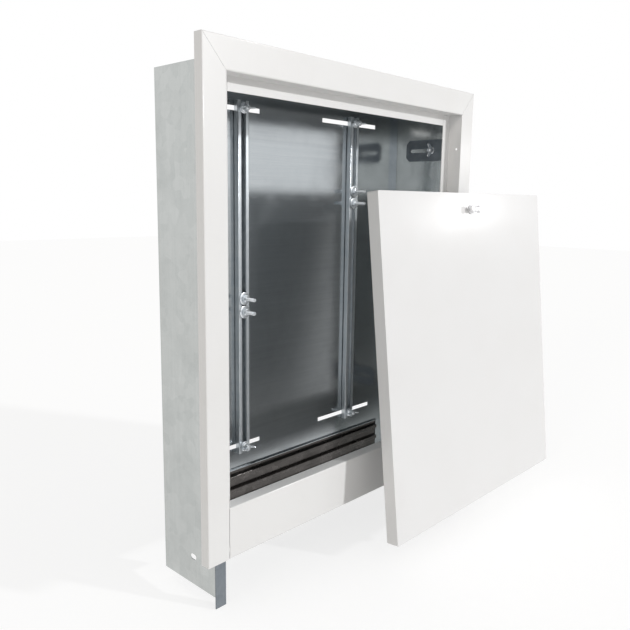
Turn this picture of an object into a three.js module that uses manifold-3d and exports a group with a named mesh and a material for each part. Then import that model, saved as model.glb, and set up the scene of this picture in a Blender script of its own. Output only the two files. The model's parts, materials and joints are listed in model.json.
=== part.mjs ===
// A recessed steel cabinet for a pipe manifold: galvanised body, white front frame that slides
// for wall depth, two mounting rails on a slotted back, two adjustable foot strips and a lift-out door.
// Millimetres, +Z up. The origin is on the back panel's rear face, in the middle of its slot rows,
// and the front looks along -Y.
import * as THREE from 'three';
import { mergeVertices } from 'three/addons/utils/BufferGeometryUtils.js';
import Module from 'manifold-3d';

const wasm = await Module();
wasm.setup();

// Clearances
const GAP = 0.3;              // between pieces that touch
const BOLT_CLEAR = 0.3;       // round a shank, in every hole and slot
const DOOR_CLEAR = 1.5;       // round the door in the frame's opening
const OVERCUT = 1;            // how far a cutting tool passes the sheet that it cuts
const FLAT_CLEAR = 1;         // from a free flat to the fasteners at its ends

// Front frame
const FRAME_W = 600;
const FRAME_H = 668;
const FRAME_SHEET = 1.2;
const STILE_W = 36.3;
const TOP_W = 40;
const APRON_H = 72.5;
const LIP_D = 14.6;           // rim that runs back from the frame's outer edge
const REBATE_D = 24.6;        // from the frame's face to the flange that stops the door
const SIDE_FLANGE = 20.6;
const TOP_FLANGE = 18.4;
const APRON_RETURN = 19;
const FIXING_HOLE_R = 2;
const FIXING_HOLE_Y = 9;      // behind the frame's face, in the stiles' returns
const CORNER_HOLE_X = 34;     // from the stile, in the top rail's return
const CORNER_HOLE_Y = 16;

// Body
const DEPTH = 148.8;          // frame's face to the back panel's rear face, frame pushed home
const BODY_SETBACK = 4.8;     // frame's stop flange to the side panels' front edges, frame pushed home
const BODY_SHEET = 1;
const OVERHANG = 34.2;        // how far the frame reaches past each side panel
const BODY_TOP_GAP = 19.5;    // frame's top edge down to the body's top
const BODY_DROP = 69.1;       // frame's bottom edge down to the side panels' ends
const BODY_FLANGE = 10;
const NOTCH_H = 46;           // pipe opening's upper edge, above the frame's bottom edge
const NOTCH_SIDE = 31.8;      // back panel's legs beside the pipe opening
const NOTCH_HEM = 5;
const ANCHOR_L = 13;          // oval wall-anchor hole in each side panel
const ANCHOR_R = 4;
const ANCHOR_Y = -69.4;
const ANCHOR_UP = 42.3;       // above the side panel's end

// Slots and rails
const SLOT_L = 143;
const SLOT_CLEAR = 0.5;       // above and below a rail bolt's shank, in the back panel's slots
const SLOT_LEFT_EDGE = 43.8;  // slots' outer ends, in from the side panels
const SLOT_RIGHT_EDGE = 57.8;
const SLOT_TOP_GAP = 37.5;    // upper row, below the body's top
const SLOT_FOOT_GAP = 38.5;   // lower row, above the pipe opening
const RAIL_W = 22;
const RAIL_D = 9.5;
const RAIL_SHEET = 1.2;
const RAIL_SLOT = 9.2;
const RAIL_OVER = 11;         // past each slot row
const RAIL_LEFT_AT = 102;     // rail's middle from the slot's left end
const RAIL_RIGHT_AT = 75;
const RAIL_WASHER_R = 8;
const RAIL_WASHER_T = 1.2;

// Frame lugs, feet and fasteners
const LUG_BACK_GAP = 32.5;    // lug's end to the back panel's rear face, frame pushed home
const LUG_H = 38;
const LUG_SHEET = 1.5;
const LUG_FOOT = 18;
const LUG_END = 8;            // lug's metal past its slot
const LUG_CHAMFER = 7;
const LUG_TOP = 98;           // upper lug, below the frame's top edge
const LUG_LOW = 121;          // lower lug, above the frame's bottom edge
const LUG_STUD_Y = 60;        // lug stud behind the frame's face, frame pushed home
const FOOT_W = 18.2;
const FOOT_SHEET = 1.5;
const FOOT_OUT = 17.3;        // how far the foot strips stand below the side panels
const FOOT_UP = 15;
const FOOT_DOWN = 50;
const FOOT_TAB_W = 16;
const FOOT_TAB_H = 145;
const FOOT_BOLT_UP = 86;      // foot bolt, above the side panel's end
const FOOT_END = 8;           // foot strip's metal past its slot
const M6 = 3;                 // shank radius
const SHANK_SPARE = 3;        // shank past its nut
const SHANK_TIP = 0.8;        // chamfer at a shank's end
const EDGE_BREAK = 0.6;       // small chamfer on heads and hubs
const WING_BASE_R = 7;
const WING_HUB_R = 5;
const WING_HUB_H = 9;
const WING_BASE_H = 2;
const WING_SPAN = 12;
const WING_RISE = 14;
const WING_T = 2.4;
const WING_END_W = 3.5;       // flat at a wing's tip
const NUT_AF = 10;
const NUT_H = 5;
const WASHER_R = 10;
const WASHER_T = 1.5;
const BUTTON_R = 5.5;
const BUTTON_H = 1.6;
const RAIL_HEAD_R = 7;
const RAIL_HEAD_H = 1.5;
const CLAMP_L = 25.5;         // clamp bolt past the rail's front
const CLAMP_HEAD_SIDE = 0.55; // clamp bolt's head to the rail's walls
const CLAMP_HEAD_IN = 1.2;    // how much narrower its head is than the rail's mouth
const CLAMP_HEAD_T = 2.6;
const CLAMPS_LEFT_UP = 219.5; // lower clamp bolt on the left rail, above the lower slot row
const CLAMPS_RIGHT_DOWN = 117; // upper clamp bolt on the right rail, below the upper slot row
const CLAMP_PITCH = 2 * WASHER_R + 1;

// Pipe guide
const GUIDE_LAP = 14;
const GUIDE_TOP_LAP = 12;
const GUIDE_DROP = 52;        // guide's end below the frame's bottom edge
const GUIDE_CLEAR = 2;
const RIB_COUNT = 4;
const RIB_PITCH = 21.5;
const RIB_H = 11;
const RIB_CREST = 6;
const RIB_D = 6;
const RIB_FIRST = 13;         // first rib's middle below the pipe opening's upper edge
const RIVET_R = 2;
const RIVET_HEAD_R = 4;
const RIVET_HEAD_H = 1.4;
const RIVET_EDGE = 0.4;
const RIVET_TAIL_R = 3;
const RIVET_TAIL_H = 1;
const RIVET_DOWN = 60;

// Door and its wing-knob lock
const DOOR_D = 20.9;
const DOOR_SHEET = 1.2;
const DOOR_HEM = 8;
const DOOR_CORNER_R = 3;
const DOOR_HEM_R = 1;
const DOOR_TAB_W = 20;        // tabs that drop behind the apron's shelf
const DOOR_TAB_DROP = 8;
const DOOR_TAB_IN = 60;
const DOOR_LEAN = THREE.MathUtils.degToRad(6.26);
const DOOR_X = 5.8;           // left edge, from the cabinet's middle
const DOOR_LIFT = -55.5;      // door's lower edge, from the frame's bottom edge
const LOCK_DOWN = 29;         // lock's axis below the door's top edge
const LOCK_BARREL_R = 6;
const LOCK_BARREL_L = 11;
const LOCK_FLANGE_R = 8;
const LOCK_FLANGE_T = 2;
const LOCK_NUT_AF = 17;
const LOCK_NUT_H = 3;
const SPINDLE_R = 2.5;
const SPINDLE_END = 1.5;      // spindle past the cam
const KNOB_SPAN = 13;
const KNOB_END_H = 6.5;
const KNOB_WAIST_H = 2.6;
const KNOB_T = 7;
const KNOB_HUB_R = 4.5;
const KNOB_HUB_H = 3;
const CAM_W = 8;
const CAM_T = 2;
const CAM_REACH = 5;          // past the door's top edge when it is turned up
const CATCH_CLEAR = 2;        // round the cam's sweep, in the door's and the frame's catch slots

// Sizes that follow
const BODY_X = FRAME_W / 2 - OVERHANG;
const INNER_X = BODY_X - BODY_SHEET;
const PANEL_X = INNER_X - GAP;
const NOTCH_X = BODY_X - NOTCH_SIDE;
const SLOT_HIGH = FRAME_H - BODY_TOP_GAP - SLOT_TOP_GAP;
const SLOT_LOW = NOTCH_H + SLOT_FOOT_GAP;
const Z_FRAME = -(SLOT_HIGH + SLOT_LOW) / 2;
const Z_TOP = Z_FRAME + FRAME_H - BODY_TOP_GAP;
const Z_BOTTOM = Z_FRAME - BODY_DROP;
const Z_NOTCH = Z_FRAME + NOTCH_H;
const SLOT_ROWS = { upper: Z_FRAME + SLOT_HIGH, lower: Z_FRAME + SLOT_LOW };
const LUG_ROWS = { upper: FRAME_H - LUG_TOP, lower: LUG_LOW };
const LUG_STUD_FIXED_Y = LUG_STUD_Y - DEPTH;
const FLANGE_BACK = REBATE_D + FRAME_SHEET;
const SIDE_D = DEPTH - FLANGE_BACK - BODY_SETBACK;
const SLOT_LEFT_X = -INNER_X + SLOT_LEFT_EDGE;
const SLOT_RIGHT_X = INNER_X - SLOT_RIGHT_EDGE - SLOT_L;
const RAIL_X = { left: SLOT_LEFT_X + RAIL_LEFT_AT, right: SLOT_RIGHT_X + RAIL_RIGHT_AT };
const RAIL_BACK = -(BODY_SHEET + GAP);
const RAIL_FRONT = RAIL_BACK - RAIL_D;
const FOOT_X = BODY_X - FOOT_W / 2;
const FOOT_BACK = -(SIDE_D + GAP);
const FOOT_FRONT = FOOT_BACK - FOOT_SHEET;
const FOOT_BOLT_Z = Z_BOTTOM + FOOT_BOLT_UP;
const DOOR_W = FRAME_W - 2 * STILE_W - 2 * DOOR_CLEAR;
const DOOR_H = FRAME_H - TOP_W - APRON_H - 2 * DOOR_CLEAR;
const CAM_Y = DOOR_SHEET + LOCK_BARREL_L + GAP;
const CAM_L = LOCK_DOWN + CAM_REACH;
const CAM_EDGE = CAM_W / 2 + CATCH_CLEAR;
const HOLE_R = M6 + BOLT_CLEAR;
const SLOT_H = 2 * (M6 + SLOT_CLEAR);
const LUG_TRAVEL = DEPTH - LUG_BACK_GAP - LUG_END - HOLE_R - LUG_STUD_Y;
const CLAMP_Z = {
  lower_left: SLOT_ROWS.lower + CLAMPS_LEFT_UP,
  upper_left: SLOT_ROWS.lower + CLAMPS_LEFT_UP + CLAMP_PITCH,
  lower_right: SLOT_ROWS.upper - CLAMPS_RIGHT_DOWN - CLAMP_PITCH,
  upper_right: SLOT_ROWS.upper - CLAMPS_RIGHT_DOWN,
};
const CLAMP_HEAD_L = RAIL_W - 2 * (RAIL_SHEET + CLAMP_HEAD_SIDE);
const CLAMP_HEAD_W = RAIL_SLOT - CLAMP_HEAD_IN;

// Materials
const galvanised = steel(0xb6bcba, 0.42, 0.85);
const zinc = steel(0xc9ced2, 0.28, 0.95);
const white = steel(0xe6e6e6, 0.35, 0);
const nickel = steel(0xb9bbbf, 0.2, 1);

function steel(color, roughness, metalness) {
  return new THREE.MeshStandardMaterial({ color, roughness, metalness });
}

const AXES = {
  x: new THREE.Vector3(1, 0, 0),
  y: new THREE.Vector3(0, 1, 0),
  z: new THREE.Vector3(0, 0, 1),
};

// Solid helpers. A geometry goes in, joins and cuts happen on solids, and a geometry comes out.
function signedVolume(geometry) {
  const p = geometry.attributes.position;
  const index = geometry.index;
  const corners = [new THREE.Vector3(), new THREE.Vector3(), new THREE.Vector3()];
  let volume = 0;
  for (let i = 0; i < index.count; i += 3) {
    corners.forEach((corner, k) => corner.fromBufferAttribute(p, index.getX(i + k)));
    volume += corners[0].dot(corners[1].clone().cross(corners[2])) / 6;
  }
  return volume;
}

function outward(geometry) {
  if (signedVolume(geometry) > 0) return geometry;
  const index = geometry.index;
  for (let i = 0; i < index.count; i += 3) {
    const second = index.getX(i + 1);
    index.setX(i + 1, index.getX(i + 2));
    index.setX(i + 2, second);
  }
  return geometry;
}

function welded(geometry) {
  const bare = geometry.clone();
  bare.deleteAttribute('normal');
  bare.deleteAttribute('uv');
  return outward(mergeVertices(bare, 1e-4));
}

function solid(geometry) {
  const closed = welded(geometry);
  return new wasm.Manifold(new wasm.Mesh({
    numProp: 3,
    vertProperties: Float32Array.from(closed.attributes.position.array),
    triVerts: Uint32Array.from(closed.index.array),
  }));
}

function surface(shape) {
  const mesh = shape.simplify(1e-3).getMesh();
  const geometry = new THREE.BufferGeometry();
  geometry.setAttribute('position', new THREE.BufferAttribute(mesh.vertProperties, 3));
  geometry.setIndex(new THREE.BufferAttribute(mesh.triVerts, 1));
  geometry.computeVertexNormals();
  return geometry;
}

// Flats that lie in one plane become one flat.
function fuse(pieces) {
  return pieces.reduce((whole, piece) => whole.add(piece)).asOriginal();
}

function cut(whole, tools) {
  return tools.reduce((rest, tool) => rest.subtract(tool), whole).asOriginal();
}

// The stretch along Z between two fasteners, each with its middle and how far it reaches.
function freeStretch([below, belowReach], [above, aboveReach]) {
  return [below + belowReach + FLAT_CLEAR, above - aboveReach - FLAT_CLEAR];
}

// The flats of one stretch of a piece end where the stretch does, so that each is free all over.
function flatsApart(whole, [low, high]) {
  const far = FRAME_W + FRAME_H;
  const slab = block(-far, far, -far, far, low, high);
  return whole.subtract(slab).asOriginal().add(whole.intersect(slab).asOriginal());
}

function block(x0, x1, y0, y1, z0, z1) {
  const box = new THREE.BoxGeometry(x1 - x0, y1 - y0, z1 - z0);
  return solid(box.translate((x0 + x1) / 2, (y0 + y1) / 2, (z0 + z1) / 2));
}

function mirrored(geometry) {
  return outward(geometry.clone().applyMatrix4(new THREE.Matrix4().makeScale(-1, 1, 1)));
}

// A round piece turned about Z from [radius, height] points, base on z = 0.
function turned(points, segments = 20) {
  const profile = points.map(([radius, height]) => new THREE.Vector2(radius, height));
  return welded(new THREE.LatheGeometry(profile, segments).rotateX(Math.PI / 2));
}

// An outline run out by the depth. Its own two directions and the run lie along the axes given.
function prism(shape, depth, [across, up, run], origin) {
  const geometry = new THREE.ExtrudeGeometry(shape, { depth, bevelEnabled: false, curveSegments: 6 });
  const basis = new THREE.Matrix4().makeBasis(AXES[across], AXES[up], AXES[run]);
  return solid(geometry.applyMatrix4(basis.setPosition(...origin)));
}

// A plate from an outline in X and Z, from y0 to y1.
function plate(shape, y0, y1) {
  return prism(shape, y1 - y0, ['x', 'z', 'y'], [0, y0, 0]);
}

function outline(points) {
  return new THREE.Shape(points.map(([across, up]) => new THREE.Vector2(across, up)));
}

function rod(radius, length, axis, x, y, z) {
  const cylinder = new THREE.CylinderGeometry(radius, radius, length, 16);
  if (axis === 'x') cylinder.rotateZ(Math.PI / 2);
  if (axis === 'z') cylinder.rotateX(Math.PI / 2);
  return solid(cylinder.translate(x, y, z));
}

// A round-ended cutting tool, centred on the point given, with its length along the first axis.
function slotTool(length, radius, thickness, [along, across, through], centre) {
  const reach = length / 2 - radius;
  const shape = new THREE.Shape();
  shape.absarc(reach, 0, radius, -Math.PI / 2, Math.PI / 2);
  shape.absarc(-reach, 0, radius, Math.PI / 2, 1.5 * Math.PI);
  shape.closePath();
  const start = new THREE.Vector3(...centre).addScaledVector(AXES[through], -thickness / 2);
  return prism(shape, thickness, [along, across, through], start.toArray());
}

// Fasteners, each turned about Z with its bearing face on z = 0 and its shank or hub going up.
function bolt(headRadius, headHeight, length) {
  return turned([
    [0, -headHeight], [headRadius - EDGE_BREAK, -headHeight], [headRadius, -headHeight + EDGE_BREAK],
    [headRadius, 0], [M6, 0], [M6, length - SHANK_TIP], [M6 - SHANK_TIP, length], [0, length],
  ]);
}

function stud(length) {
  return turned([[0, 0], [M6, 0], [M6, length - SHANK_TIP], [M6 - SHANK_TIP, length], [0, length]]);
}

function ring(outer, inner, height) {
  return turned([[inner, 0], [outer, 0], [outer, height], [inner, height], [inner, 0]]);
}

function hexNut(acrossFlats, height, boreRadius) {
  const corner = acrossFlats / Math.sqrt(3);
  const hex = new THREE.Shape();
  for (let i = 0; i < 6; i += 1) {
    const angle = (i * Math.PI) / 3;
    const point = [corner * Math.cos(angle), corner * Math.sin(angle)];
    if (i === 0) hex.moveTo(...point);
    else hex.lineTo(...point);
  }
  hex.holes.push(new THREE.Path().absarc(0, 0, boreRadius, 0, 2 * Math.PI, true));
  return welded(new THREE.ExtrudeGeometry(hex, { depth: height, bevelEnabled: false, curveSegments: 8 }));
}

function wingNut() {
  const hub = solid(turned([
    [0, 0], [WING_BASE_R, 0], [WING_BASE_R, WING_BASE_H], [WING_HUB_R, WING_BASE_H + 1],
    [WING_HUB_R - EDGE_BREAK, WING_HUB_H], [0, WING_HUB_H],
  ], 16));
  const wing = new THREE.Shape();
  wing.moveTo(0, 1);
  wing.lineTo(WING_HUB_R, 1);
  wing.quadraticCurveTo(WING_SPAN, 3, WING_SPAN, WING_RISE - WING_END_W);
  wing.quadraticCurveTo(WING_SPAN, WING_RISE, WING_SPAN - WING_END_W, WING_RISE);
  wing.quadraticCurveTo(WING_HUB_R + 1, WING_HUB_H + 1, WING_HUB_R - 1.5, WING_HUB_H - 1);
  wing.lineTo(0, WING_HUB_H - 1);
  const one = new THREE.ExtrudeGeometry(wing, { depth: WING_T, bevelEnabled: false, curveSegments: 5 });
  one.translate(0, 0, -WING_T / 2).rotateX(Math.PI / 2);
  const other = one.clone().rotateZ(Math.PI);
  const bore = rod(HOLE_R, 2 * WING_RISE, 'z', 0, 0, WING_HUB_H / 2);
  return surface(cut(fuse([hub, solid(one), solid(other)]), [bore]));
}

function clampBolt() {
  const [across, up] = [CLAMP_HEAD_L / 2, CLAMP_HEAD_W / 2];
  const head = block(-across, across, -up, up, -CLAMP_HEAD_T, 0);
  const length = GAP + RAIL_SHEET + CLAMP_L;
  const shank = solid(turned([
    [0, -CLAMP_HEAD_T / 2], [M6, -CLAMP_HEAD_T / 2], [M6, length - SHANK_TIP], [M6 - SHANK_TIP, length],
    [0, length],
  ]));
  return surface(fuse([head, shank]));
}

// Placing. A fastener points along the axis given, from the point given.
const TURNS = {
  front: [Math.PI / 2, 0, 0],
  back: [-Math.PI / 2, 0, 0],
  left: [0, -Math.PI / 2, 0],
  right: [0, Math.PI / 2, 0],
};

function place(group, name, geometry, material, position = [0, 0, 0], turn = [0, 0, 0]) {
  const mesh = new THREE.Mesh(geometry, material);
  mesh.name = name;
  mesh.position.set(...position);
  mesh.rotation.set(...turn);
  group.add(mesh);
}

function pair(group, name, geometry, material) {
  place(group, `${name}_left`, geometry, material);
  place(group, `${name}_right`, mirrored(geometry), material);
}

// Body shell
function sidePanel() {
  const sheet = block(-BODY_X, -INNER_X, -SIDE_D, 0, Z_BOTTOM, Z_TOP);
  const tab = block(-BODY_X, -BODY_X + FOOT_TAB_W, -SIDE_D, -SIDE_D + BODY_SHEET,
    Z_BOTTOM, Z_BOTTOM + FOOT_TAB_H);
  const through = BODY_SHEET + 2 * OVERCUT;
  const middle = -(BODY_X + INNER_X) / 2;
  const footHole = rod(HOLE_R, through, 'y', -FOOT_X, -SIDE_D + BODY_SHEET / 2, FOOT_BOLT_Z);
  const anchorAt = [middle, ANCHOR_Y, Z_BOTTOM + ANCHOR_UP];
  const anchor = slotTool(ANCHOR_L, ANCHOR_R, through, ['y', 'z', 'x'], anchorAt);
  return surface(cut(fuse([sheet, tab]), [footHole, anchor]));
}

function backPanel() {
  const top = Z_TOP - BODY_SHEET - GAP;
  const sheet = block(-PANEL_X, PANEL_X, -BODY_SHEET, 0, Z_BOTTOM, top);
  const flangeTop = top - BODY_FLANGE - GAP;
  const flanges = [-1, 1].map((side) => block(
    side < 0 ? -PANEL_X : PANEL_X - BODY_SHEET, side < 0 ? -PANEL_X + BODY_SHEET : PANEL_X,
    -BODY_FLANGE, 0, Z_BOTTOM, flangeTop));
  const hem = block(-NOTCH_X, NOTCH_X, -NOTCH_HEM, 0, Z_NOTCH, Z_NOTCH + BODY_SHEET);
  const notch = block(-NOTCH_X, NOTCH_X, -OVERCUT - BODY_SHEET, OVERCUT, Z_BOTTOM - OVERCUT, Z_NOTCH);
  const slots = [SLOT_LEFT_X, SLOT_RIGHT_X].flatMap((start) => Object.values(SLOT_ROWS).map((z) => block(
    start, start + SLOT_L, -OVERCUT - BODY_SHEET, OVERCUT, z - SLOT_H / 2, z + SLOT_H / 2)));
  const panel = cut(fuse([sheet, ...flanges, hem]), [notch, ...slots, ...rivetHoles()]);
  const free = freeStretch([SLOT_ROWS.lower, RAIL_HEAD_R], [SLOT_ROWS.upper, RAIL_HEAD_R]);
  return surface(flatsApart(panel, free));
}

function topPanel() {
  const back = -BODY_SHEET - GAP;
  const sheet = block(-PANEL_X, PANEL_X, -SIDE_D, 0, Z_TOP - BODY_SHEET, Z_TOP);
  const low = Z_TOP - BODY_SHEET - BODY_FLANGE;
  const left = block(-PANEL_X, -PANEL_X + BODY_SHEET, -SIDE_D, back, low, Z_TOP);
  const right = block(PANEL_X - BODY_SHEET, PANEL_X, -SIDE_D, back, low, Z_TOP);
  const front = block(-PANEL_X, PANEL_X, -SIDE_D, -SIDE_D + BODY_SHEET, low, Z_TOP);
  return surface(fuse([sheet, left, right, front]));
}

function rivetPlaces() {
  const x = NOTCH_X + GUIDE_LAP / 2;
  return [[-x, Z_NOTCH - RIVET_DOWN], [x, Z_NOTCH - RIVET_DOWN]];
}

function rivetHoles() {
  return rivetPlaces().map(([x, z]) => rod(RIVET_R + BOLT_CLEAR, 4 * BODY_SHEET, 'y', x, 0, z));
}

// The pipe guide's ribbed sheet: fold lines from top to bottom in Y and Z, then back up a sheet behind.
function guideFolds(top, bottom) {
  const folds = [[0, top]];
  for (let i = 0; i < RIB_COUNT; i += 1) {
    const middle = Z_NOTCH - RIB_FIRST - i * RIB_PITCH;
    folds.push([0, middle + RIB_H / 2], [-RIB_D, middle + RIB_CREST / 2]);
    folds.push([-RIB_D, middle - RIB_CREST / 2], [0, middle - RIB_H / 2]);
  }
  folds.push([0, bottom]);
  return folds;
}

function pipeGuide() {
  const top = Z_NOTCH + GUIDE_TOP_LAP;
  const bottom = Z_FRAME - GUIDE_DROP;
  const front = guideFolds(top, bottom);
  const rear = front.map(([y, z]) => [y + BODY_SHEET, z]).reverse();
  const half = NOTCH_X - GUIDE_CLEAR;
  const ribbed = prism(outline([...front, ...rear]), 2 * half, ['y', 'z', 'x'], [-half, GAP, 0]);
  const reach = NOTCH_X + GUIDE_LAP;
  const laps = [[-reach, -half + OVERCUT], [half - OVERCUT, reach]].map(([from, to]) => (
    block(from, to, GAP, GAP + BODY_SHEET, bottom, top)));
  return surface(cut(fuse([ribbed, ...laps]), rivetHoles()));
}

function rivet() {
  const grip = 2 * BODY_SHEET + 3 * GAP;
  return turned([
    [0, -RIVET_HEAD_H], [RIVET_TAIL_R, -RIVET_HEAD_H], [RIVET_HEAD_R, -RIVET_EDGE], [RIVET_HEAD_R, 0],
    [RIVET_R, 0], [RIVET_R, grip], [RIVET_TAIL_R, grip], [RIVET_TAIL_R, grip + RIVET_TAIL_H],
    [0, grip + RIVET_TAIL_H],
  ], 14);
}

function buildShell() {
  const shell = new THREE.Group();
  pair(shell, 'side_panel', sidePanel(), galvanised);
  place(shell, 'back_panel', backPanel(), galvanised);
  place(shell, 'top_panel', topPanel(), galvanised);
  place(shell, 'pipe_guide', pipeGuide(), galvanised);
  rivetPlaces().forEach(([x, z], i) => {
    place(shell, `guide_rivet_${i ? 'right' : 'left'}`, rivet(), zinc, [x, -BODY_SHEET - GAP, z], TURNS.back);
  });
  return shell;
}

// Feet
function footStrip() {
  const top = FOOT_BOLT_Z + FOOT_DOWN + HOLE_R + FOOT_END;
  const strip = block(-BODY_X, -BODY_X + FOOT_W, FOOT_FRONT, FOOT_BACK, Z_BOTTOM - FOOT_OUT, top);
  const length = FOOT_UP + FOOT_DOWN + 2 * HOLE_R;
  const middle = FOOT_BOLT_Z + (FOOT_DOWN - FOOT_UP) / 2;
  const through = FOOT_SHEET + 2 * OVERCUT;
  const slotAt = [-FOOT_X, (FOOT_FRONT + FOOT_BACK) / 2, middle];
  const slot = slotTool(length, HOLE_R, through, ['z', 'x', 'y'], slotAt);
  return surface(cut(strip, [slot]));
}

function buildFeet() {
  const feet = new THREE.Group();
  pair(feet, 'foot_strip', footStrip(), galvanised);
  const nutFace = -SIDE_D + BODY_SHEET + GAP;
  const length = nutFace + NUT_H + SHANK_SPARE - (FOOT_FRONT - GAP);
  for (const [side, x] of [['left', -FOOT_X], ['right', FOOT_X]]) {
    const head = bolt(BUTTON_R, BUTTON_H, length);
    place(feet, `foot_bolt_${side}`, head, zinc, [x, FOOT_FRONT - GAP, FOOT_BOLT_Z], TURNS.back);
    const nut = hexNut(NUT_AF, NUT_H, HOLE_R);
    place(feet, `foot_nut_${side}`, nut, zinc, [x, nutFace, FOOT_BOLT_Z], TURNS.back);
  }
  return feet;
}

// How far aside the turning cam's corner is when it first reaches the height given, with its clearance.
function camSweep(height) {
  return Math.sqrt(CAM_L ** 2 + (CAM_W / 2) ** 2 - height ** 2) + CATCH_CLEAR;
}

// Front frame, in its own place: face on y = 0, bottom edge on z = 0
function mitreTool(keepBelow, side) {
  const shift = keepBelow ? -GAP / 1.5 : GAP / 1.5;
  const edge = -FRAME_W / 2 + shift;
  const run = (t) => [edge + t * STILE_W, FRAME_H - t * TOP_W];
  const [a, b] = [run(-0.3), run(1.3)];
  const third = keepBelow ? [b[0], a[1]] : [a[0], b[1]];
  const points = [a, b, third].map(([x, z]) => [side * -x, z]);
  return plate(outline(points), -OVERCUT, FLANGE_BACK + OVERCUT);
}

function stile() {
  const outer = -FRAME_W / 2;
  const inner = outer + STILE_W;
  const face = block(outer, inner, 0, FRAME_SHEET, 0, FRAME_H);
  const lip = block(outer, outer + FRAME_SHEET, 0, LIP_D, 0, FRAME_H);
  const back = block(inner - FRAME_SHEET, inner, 0, FLANGE_BACK, 0, FRAME_H);
  const holes = Object.values(LUG_ROWS).map((z) => (
    rod(FIXING_HOLE_R, 4 * FRAME_SHEET, 'x', inner - FRAME_SHEET / 2, FIXING_HOLE_Y, z)));
  const mitred = cut(fuse([face, lip, back]), [mitreTool(true, -1), ...holes]);
  const flangeTop = FRAME_H - TOP_W - GAP;
  const flange = block(inner - FRAME_SHEET, inner + SIDE_FLANGE, REBATE_D, FLANGE_BACK, 0, flangeTop);
  return surface(fuse([mitred, flange]));
}

function topRail() {
  const outer = FRAME_W / 2;
  const inner = FRAME_H - TOP_W;
  const face = block(-outer, outer, 0, FRAME_SHEET, inner, FRAME_H);
  const lip = block(-outer, outer, 0, LIP_D, FRAME_H - FRAME_SHEET, FRAME_H);
  const back = block(-outer, outer, 0, FLANGE_BACK, inner, inner + FRAME_SHEET);
  const cornerX = outer - STILE_W - CORNER_HOLE_X;
  const holes = [-cornerX, cornerX].map((x) => (
    rod(FIXING_HOLE_R, 4 * FRAME_SHEET, 'z', x, CORNER_HOLE_Y, inner + FRAME_SHEET / 2)));
  const reach = camSweep(LOCK_DOWN + DOOR_CLEAR);
  const [front, rear] = [CAM_Y - CATCH_CLEAR, CAM_Y + CAM_T + CATCH_CLEAR];
  const slot = block(-CAM_EDGE, reach, front, rear, inner - OVERCUT, inner + 2 * FRAME_SHEET);
  const mitred = cut(fuse([face, lip, back]), [mitreTool(false, -1), mitreTool(false, 1), ...holes, slot]);
  const end = outer - STILE_W - SIDE_FLANGE - GAP;
  const flange = block(-end, end, REBATE_D, FLANGE_BACK, inner - TOP_FLANGE, inner + FRAME_SHEET);
  return surface(fuse([mitred, flange]));
}

function apron() {
  const end = FRAME_W / 2 - STILE_W - GAP;
  const face = block(-end, end, 0, FRAME_SHEET, 0, APRON_H);
  const lip = block(-end, end, 0, LIP_D, 0, FRAME_SHEET);
  const shelf = block(-end, end, 0, APRON_RETURN, APRON_H - FRAME_SHEET, APRON_H);
  return surface(fuse([face, lip, shelf]));
}

// An angle whose foot lies on the stile's flange and whose slotted plate runs back inside the body.
function lug(z) {
  const outer = -PANEL_X;
  const start = FLANGE_BACK + GAP;
  const end = LUG_STUD_Y + LUG_TRAVEL + HOLE_R + LUG_END;
  const half = LUG_H / 2;
  const foot = block(outer, outer + LUG_FOOT, start, start + LUG_SHEET, z - half, z + half);
  const arm = outline([
    [start, -half], [end - LUG_CHAMFER, -half], [end, -half + LUG_CHAMFER],
    [end, half - LUG_CHAMFER], [end - LUG_CHAMFER, half], [start, half],
  ]);
  const side = prism(arm, LUG_SHEET, ['y', 'z', 'x'], [outer, 0, z]);
  const length = LUG_TRAVEL + 2 * HOLE_R;
  const middle = LUG_STUD_Y + LUG_TRAVEL / 2;
  const slot = slotTool(length, HOLE_R, 4 * LUG_SHEET, ['y', 'z', 'x'], [outer, middle, z]);
  return surface(cut(fuse([foot, side]), [slot]));
}

function buildFrame() {
  const frame = new THREE.Group();
  pair(frame, 'frame_stile', stile(), white);
  place(frame, 'frame_top_rail', topRail(), white);
  place(frame, 'frame_apron', apron(), white);
  for (const [row, z] of Object.entries(LUG_ROWS)) pair(frame, `frame_lug_${row}`, lug(z), galvanised);
  frame.position.set(0, -DEPTH, Z_FRAME);
  return frame;
}

// Studs stand welded on the side panels' inner faces, and pass through the lugs' slots.
function buildLugFasteners() {
  const group = new THREE.Group();
  const nutFace = PANEL_X - LUG_SHEET - GAP;
  const length = PANEL_X - nutFace + WING_HUB_H + SHANK_SPARE;
  for (const [row, up] of Object.entries(LUG_ROWS)) {
    for (const [side, sign, turn] of [['left', -1, TURNS.right], ['right', 1, TURNS.left]]) {
      const root = [sign * PANEL_X, LUG_STUD_FIXED_Y, Z_FRAME + up];
      place(group, `lug_stud_${row}_${side}`, stud(length), zinc, root, turn);
      const seat = [sign * nutFace, LUG_STUD_FIXED_Y, Z_FRAME + up];
      place(group, `lug_wing_nut_${row}_${side}`, wingNut(), zinc, seat, turn);
    }
  }
  return group;
}

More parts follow.
